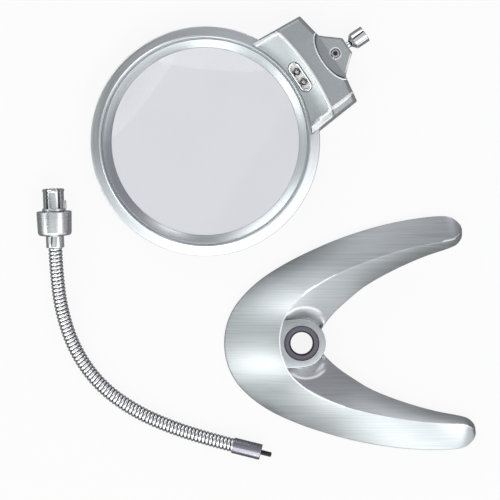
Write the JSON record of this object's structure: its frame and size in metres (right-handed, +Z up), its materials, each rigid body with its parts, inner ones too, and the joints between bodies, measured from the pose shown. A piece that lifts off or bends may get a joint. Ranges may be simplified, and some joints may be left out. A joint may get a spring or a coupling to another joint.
{
  "type": "lighted stand magnifier kit",
  "caption": "Lighted stand magnifier laid out in parts: horseshoe base with a bush, gooseneck arm with a snap plug, and a round framed lens with lamp housing and ball joint.",
  "frame": {"origin": "middle of the whole layout's footprint, on the surface that the kit lies on", "axes": "+Z up from the surface; +X to the right and +Y to the top of the picture, which looks straight down"},
  "size_m": [0.2542, 0.257, 0.0249],
  "materials": {
    "satin_nickel": "satin, brushed in one direction",
    "brushed_aluminium": "satin, brushed round the ring",
    "chrome_plate": "polished",
    "bush_plastic": "fine grain",
    "cover_plastic": "fine grain",
    "switch_plastic": "smooth",
    "foot_rubber": "matt",
    "bright_steel": "bright zinc",
    "black_steel": "black oxide",
    "lens_glass": "polished, clear",
    "silver_paint": "silver paint, satin",
    "circuit_board": "solder mask",
    "led_epoxy": "clear epoxy",
    "cell_jacket": "printed film"
  },
  "bodies": {
    "base": {"base_casting": "satin_nickel", "base_bush": "bush_plastic", "base_bottom_cover": "cover_plastic", "base_foot_1": "foot_rubber", "base_foot_2": "foot_rubber", "base_foot_3": "foot_rubber", "base_foot_4": "foot_rubber", "base_cover_screw_1": "bright_steel", "base_cover_screw_2": "bright_steel", "base_cover_screw_3": "bright_steel", "base_cover_screw_4": "bright_steel"},
    "plug": {"arm_collet": "satin_nickel", "arm_collar": "satin_nickel", "arm_lower_ferrule": "chrome_plate", "gooseneck_1": "chrome_plate"},
    "neck_link_2": {"gooseneck_2": "chrome_plate"},
    "neck_link_3": {"gooseneck_3": "chrome_plate"},
    "neck_link_4": {"gooseneck_4": "chrome_plate"},
    "neck_link_5": {"gooseneck_5": "chrome_plate"},
    "neck_link_6": {"gooseneck_6": "chrome_plate"},
    "neck_tip": {"gooseneck_7": "chrome_plate", "arm_upper_ferrule": "satin_nickel", "arm_stud": "black_steel"},
    "head": {"lens": "lens_glass", "front_bezel": "brushed_aluminium", "rear_ring": "brushed_aluminium", "ring_screw_1": "bright_steel", "ring_screw_2": "bright_steel", "ring_screw_3": "bright_steel", "ring_screw_4": "bright_steel", "housing_front": "silver_paint", "housing_rear": "silver_paint", "housing_screw_1": "bright_steel", "housing_screw_2": "bright_steel", "housing_screw_3": "bright_steel", "housing_screw_4": "bright_steel", "switch_body": "switch_plastic", "led_board": "circuit_board", "led_bezel": "chrome_plate", "led_1": "led_epoxy", "led_2": "led_epoxy", "battery_1": "cell_jacket", "battery_2": "cell_jacket", "contact_bridge": "bright_steel", "contact_spring": "bright_steel", "contact_plate": "bright_steel", "socket_front_jaw": "silver_paint", "socket_rear_jaw": "silver_paint", "clamp_nut": "bright_steel"},
    "battery_door": {"battery_door": "silver_paint"},
    "switch_knob": {"switch_knob": "switch_plastic"},
    "clamp_screw": {"clamp_screw": "black_steel"},
    "stud_swing": {"stud_ball": "chrome_plate"},
    "stud_tilt": {"stud_neck": "chrome_plate"},
    "stud_spin": {"stud_sleeve": "chrome_plate"}
  },
  "joints": [
    {"name": "arm_lift", "type": "slide", "parent": "base", "child": "plug", "axis": [0, 0, 1], "range_m": [0, 0.06]},
    {"name": "neck_bend_1", "type": "hinge", "parent": "plug", "child": "neck_link_2", "pos_m": [-0.11439, -0.02997, 0.00747], "axis": [0, 0, 1], "range_deg": [-28, 3]},
    {"name": "neck_bend_2", "type": "hinge", "parent": "neck_link_2", "child": "neck_link_3", "pos_m": [-0.10908, -0.05372, 0.00598], "axis": [-0.9472, -0.3157, -0.0555], "range_deg": [0, 28]},
    {"name": "neck_bend_3", "type": "hinge", "parent": "neck_link_3", "child": "neck_link_4", "pos_m": [-0.09806, -0.07539, 0.00483], "axis": [0, 0, 1], "range_deg": [-28, 3]},
    {"name": "neck_bend_4", "type": "hinge", "parent": "neck_link_4", "child": "neck_link_5", "pos_m": [-0.08102, -0.09274, 0.0042], "axis": [-0.5918, -0.8023, -0.0774], "range_deg": [0, 28]},
    {"name": "neck_bend_5", "type": "hinge", "parent": "neck_link_5", "child": "neck_link_6", "pos_m": [-0.05995, -0.105, 0.00408], "axis": [0, 0, 1], "range_deg": [-28, 3]},
    {"name": "neck_bend_6", "type": "hinge", "parent": "neck_link_6", "child": "neck_tip", "pos_m": [-0.03708, -0.11356, 0.00427], "axis": [-0.2913, -0.9535, -0.0776], "range_deg": [0, 28]},
    {"name": "head_lift", "type": "slide", "parent": "base", "child": "head", "axis": [0, 0, 1], "range_m": [0, 0.05]},
    {"name": "battery_door_slide", "type": "slide", "parent": "head", "child": "battery_door", "axis": [0.829, 0.5592, 0], "range_m": [0, 0.026]},
    {"name": "switch_slide", "type": "slide", "parent": "head", "child": "switch_knob", "axis": [0.829, 0.5592, 0], "range_m": [0, 0.002]},
    {"name": "clamp_screw_turn", "type": "hinge", "parent": "head", "child": "clamp_screw", "pos_m": [0.04552, 0.10634, 0.01], "axis": [0, 0, 1], "continuous": true},
    {"name": "ball_swing", "type": "hinge", "parent": "head", "child": "stud_swing", "pos_m": [0.05008, 0.10941, 0.01], "axis": [0, 0, 1], "range_deg": [-14, 14]},
    {"name": "ball_tilt", "type": "hinge", "parent": "stud_swing", "child": "stud_tilt", "pos_m": [0.05008, 0.10941, 0.01], "axis": [0.5592, -0.829, 0], "range_deg": [-14, 14]},
    {"name": "ball_spin", "type": "hinge", "parent": "stud_tilt", "child": "stud_spin", "pos_m": [0.05008, 0.10941, 0.01], "axis": [0.829, 0.5592, 0], "continuous": true}
  ]
}
